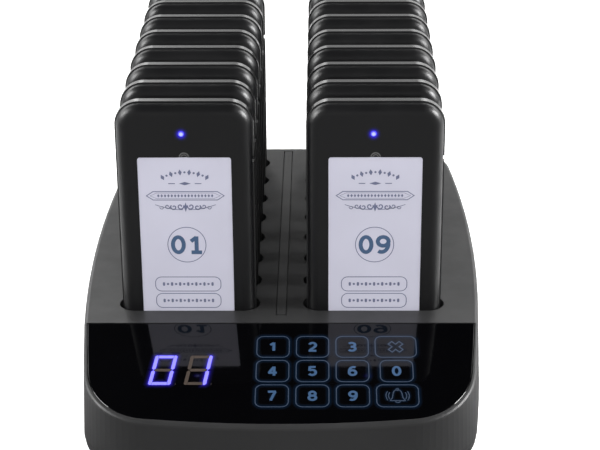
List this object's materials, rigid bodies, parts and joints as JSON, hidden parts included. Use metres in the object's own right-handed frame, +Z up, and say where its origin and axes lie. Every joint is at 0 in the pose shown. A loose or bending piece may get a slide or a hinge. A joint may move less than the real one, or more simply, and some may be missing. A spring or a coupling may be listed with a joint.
{
  "type": "guest pager system",
  "caption": "Restaurant guest paging base: low charging dock with a sloping glossy touch keypad and two-digit display, holding slim upright pagers in slots.",
  "frame": {"origin": "middle of the object's box, on the counter under the rubber feet", "axes": "+Z up, -Y towards the operator (the sloping keypad's side), +X to the operator's right"},
  "size_m": [0.1542, 0.2246, 0.1252],
  "materials": {
    "case_top": "fine moulded texture, dark grey",
    "case_bottom": "fine moulded texture, near black",
    "panel_gloss": "polished black acrylic",
    "display": "smoked display face",
    "circuit_board": "green solder mask",
    "strip": "fine moulded texture, dark grey",
    "jack_black": "moulded black socket",
    "switch_black": "moulded black",
    "rubber": "soft rubber",
    "screw_steel": "zinc plated",
    "pager_cover": "satin black ABS",
    "pager_back_cover": "satin black ABS",
    "pager_board": "circuit board with its cell, motor and light",
    "pager_label": "printed card in the cover's recess",
    "pager_lamp": "clear lens over a blue light",
    "key_print": "lit key marks on the panel",
    "display_light": "lit segments behind the panel",
    "switch_mark": "printed on and off marks"
  },
  "bodies": {
    "base": {"top_case": "case_top", "bottom_case": "case_bottom", "touch_panel": "panel_gloss", "display_module": "display", "control_board": "circuit_board", "charge_boards": "circuit_board", "centre_strip": "strip", "dc_jack": "jack_black", "power_switch": "switch_black", "rubber_feet": "rubber", "case_screws": "screw_steel"},
    "power_rocker": {"power_rocker": "switch_black"},
    "pager_01": {"pager_01_front": "pager_cover", "pager_01_back": "pager_back_cover", "pager_01_core": "pager_board"},
    "pager_02": {"pager_02_front": "pager_cover", "pager_02_back": "pager_back_cover", "pager_02_core": "pager_board"},
    "pager_03": {"pager_03_front": "pager_cover", "pager_03_back": "pager_back_cover", "pager_03_core": "pager_board"},
    "pager_04": {"pager_04_front": "pager_cover", "pager_04_back": "pager_back_cover", "pager_04_core": "pager_board"},
    "pager_05": {"pager_05_front": "pager_cover", "pager_05_back": "pager_back_cover", "pager_05_core": "pager_board"},
    "pager_06": {"pager_06_front": "pager_cover", "pager_06_back": "pager_back_cover", "pager_06_core": "pager_board"},
    "pager_07": {"pager_07_front": "pager_cover", "pager_07_back": "pager_back_cover", "pager_07_core": "pager_board"},
    "pager_08": {"pager_08_front": "pager_cover", "pager_08_back": "pager_back_cover", "pager_08_core": "pager_board"},
    "pager_09": {"pager_09_front": "pager_cover", "pager_09_back": "pager_back_cover", "pager_09_core": "pager_board"},
    "pager_10": {"pager_10_front": "pager_cover", "pager_10_back": "pager_back_cover", "pager_10_core": "pager_board"},
    "pager_11": {"pager_11_front": "pager_cover", "pager_11_back": "pager_back_cover", "pager_11_core": "pager_board"},
    "pager_12": {"pager_12_front": "pager_cover", "pager_12_back": "pager_back_cover", "pager_12_core": "pager_board"},
    "pager_13": {"pager_13_front": "pager_cover", "pager_13_back": "pager_back_cover", "pager_13_core": "pager_board"},
    "pager_14": {"pager_14_front": "pager_cover", "pager_14_back": "pager_back_cover", "pager_14_core": "pager_board"},
    "pager_15": {"pager_15_front": "pager_cover", "pager_15_back": "pager_back_cover", "pager_15_core": "pager_board"},
    "pager_16": {"pager_16_front": "pager_cover", "pager_16_back": "pager_back_cover", "pager_16_core": "pager_board"}
  },
  "joints": [
    {"name": "pager_01_lift", "type": "slide", "parent": "base", "child": "pager_01", "axis": [0, 0, 1], "range_m": [0, 0.045]},
    {"name": "pager_02_lift", "type": "slide", "parent": "base", "child": "pager_02", "axis": [0, 0, 1], "range_m": [0, 0.045]},
    {"name": "pager_03_lift", "type": "slide", "parent": "base", "child": "pager_03", "axis": [0, 0, 1], "range_m": [0, 0.045]},
    {"name": "pager_04_lift", "type": "slide", "parent": "base", "child": "pager_04", "axis": [0, 0, 1], "range_m": [0, 0.045]},
    {"name": "pager_05_lift", "type": "slide", "parent": "base", "child": "pager_05", "axis": [0, 0, 1], "range_m": [0, 0.045]},
    {"name": "pager_06_lift", "type": "slide", "parent": "base", "child": "pager_06", "axis": [0, 0, 1], "range_m": [0, 0.045]},
    {"name": "pager_07_lift", "type": "slide", "parent": "base", "child": "pager_07", "axis": [0, 0, 1], "range_m": [0, 0.045]},
    {"name": "pager_08_lift", "type": "slide", "parent": "base", "child": "pager_08", "axis": [0, 0, 1], "range_m": [0, 0.045]},
    {"name": "pager_09_lift", "type": "slide", "parent": "base", "child": "pager_09", "axis": [0, 0, 1], "range_m": [0, 0.045]},
    {"name": "pager_10_lift", "type": "slide", "parent": "base", "child": "pager_10", "axis": [0, 0, 1], "range_m": [0, 0.045]},
    {"name": "pager_11_lift", "type": "slide", "parent": "base", "child": "pager_11", "axis": [0, 0, 1], "range_m": [0, 0.045]},
    {"name": "pager_12_lift", "type": "slide", "parent": "base", "child": "pager_12", "axis": [0, 0, 1], "range_m": [0, 0.045]},
    {"name": "pager_13_lift", "type": "slide", "parent": "base", "child": "pager_13", "axis": [0, 0, 1], "range_m": [0, 0.045]},
    {"name": "pager_14_lift", "type": "slide", "parent": "base", "child": "pager_14", "axis": [0, 0, 1], "range_m": [0, 0.045]},
    {"name": "pager_15_lift", "type": "slide", "parent": "base", "child": "pager_15", "axis": [0, 0, 1], "range_m": [0, 0.045]},
    {"name": "pager_16_lift", "type": "slide", "parent": "base", "child": "pager_16", "axis": [0, 0, 1], "range_m": [0, 0.045]},
    {"name": "power_rocker_pivot", "type": "hinge", "parent": "base", "child": "power_rocker", "pos_m": [0.02, 0.1079, 0.019], "axis": [0, 0, 1], "range_deg": [-14, 0]}
  ]
}
